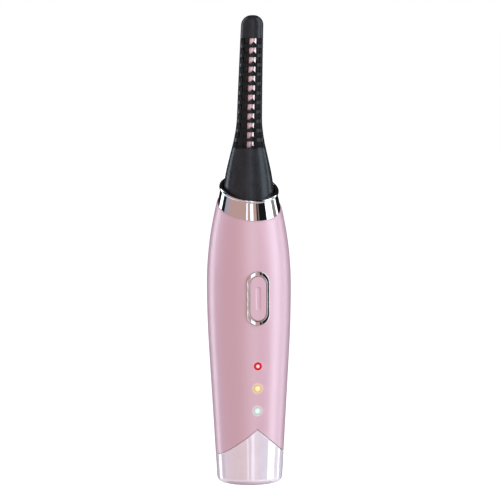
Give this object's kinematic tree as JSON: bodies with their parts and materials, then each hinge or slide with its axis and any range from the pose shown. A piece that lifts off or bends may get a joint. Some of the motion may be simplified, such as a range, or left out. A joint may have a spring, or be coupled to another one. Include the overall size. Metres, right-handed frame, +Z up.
{
  "type": "eyelash curler",
  "caption": "Heated eyelash curler: a slim pen with a slotted comb head over a heating strip, a press button, status lights and a charging socket in its foot.",
  "frame": {"origin": "middle of the flat underside, on the axis of the round foot", "axes": "+Z up along the barrel to the comb's tip; the button and the comb's slots face -Y; +X is to the right of somebody who looks at the button"},
  "size_m": [0.0214, 0.0218, 0.118],
  "materials": {
    "pearl_pink_paint": "satin pearl",
    "pink_plating": "mirror, tinted pink",
    "chrome_plating": "mirror",
    "comb_black": "satin",
    "rose_gold": "polished, rose anodised",
    "carrier_black": "satin",
    "ceramic_white": "matt",
    "sensor_glass": "clear",
    "button_pink": "satin",
    "switch_black": "matt",
    "switch_white": "matt",
    "window_red": "clear tinted",
    "window_yellow": "clear tinted",
    "window_green": "clear tinted",
    "chip_white": "matt",
    "board_green": "satin solder mask",
    "screw_steel": "plain",
    "capacitor_tan": "matt",
    "chassis_grey": "matt",
    "cell_wrap": "shrink wrap",
    "chip_black": "matt",
    "nickel": "plain",
    "port_steel": "plain",
    "lead_white": "silicone",
    "lead_yellow": "enamel",
    "lead_red": "silicone",
    "lead_black": "silicone"
  },
  "bodies": {
    "pen": {"body_shell": "pearl_pink_paint", "base_cap": "pink_plating", "collar": "chrome_plating", "comb_skirt": "comb_black", "comb_sleeve": "comb_black", "heater_strip": "rose_gold", "heater_carrier": "carrier_black", "ceramic_heater": "ceramic_white", "temperature_sensor": "sensor_glass", "head_seat": "carrier_black", "button_bezel": "chrome_plating", "switch_housing": "switch_black", "light_window_red": "window_red", "light_chip_red": "chip_white", "light_window_yellow": "window_yellow", "light_chip_yellow": "chip_white", "light_window_green": "window_green", "light_chip_green": "chip_white", "main_board": "board_green", "board_screws": "screw_steel", "capacitors": "capacitor_tan", "chassis": "chassis_grey", "battery_cell": "cell_wrap", "controller_chip": "chip_black", "charger_chip": "chip_black", "heater_transistor": "chip_black", "battery_tab_top": "nickel", "battery_tab_low": "nickel", "port_shell": "port_steel", "port_tongue": "switch_black", "port_board": "board_green", "heater_leads": "lead_white", "sensor_leads": "lead_yellow", "port_leads": "lead_red", "battery_lead_red": "lead_red", "battery_lead_black": "lead_black"},
    "button": {"button_cap": "button_pink"},
    "switch_pin": {"switch_plunger": "switch_white"}
  },
  "joints": [
    {"name": "button_press", "type": "slide", "parent": "pen", "child": "button", "axis": [0, 1, 0], "range_m": [0, 0.0004], "stiffness_N_per_m": 2500, "springref_m": -0.0004},
    {"name": "switch_travel", "type": "slide", "parent": "pen", "child": "switch_pin", "axis": [0, 1, 0], "range_m": [0, 0.0004]}
  ],
  "couplings": [
    {"joint": "switch_travel", "follows": "button_press", "ratio": 1}
  ]
}
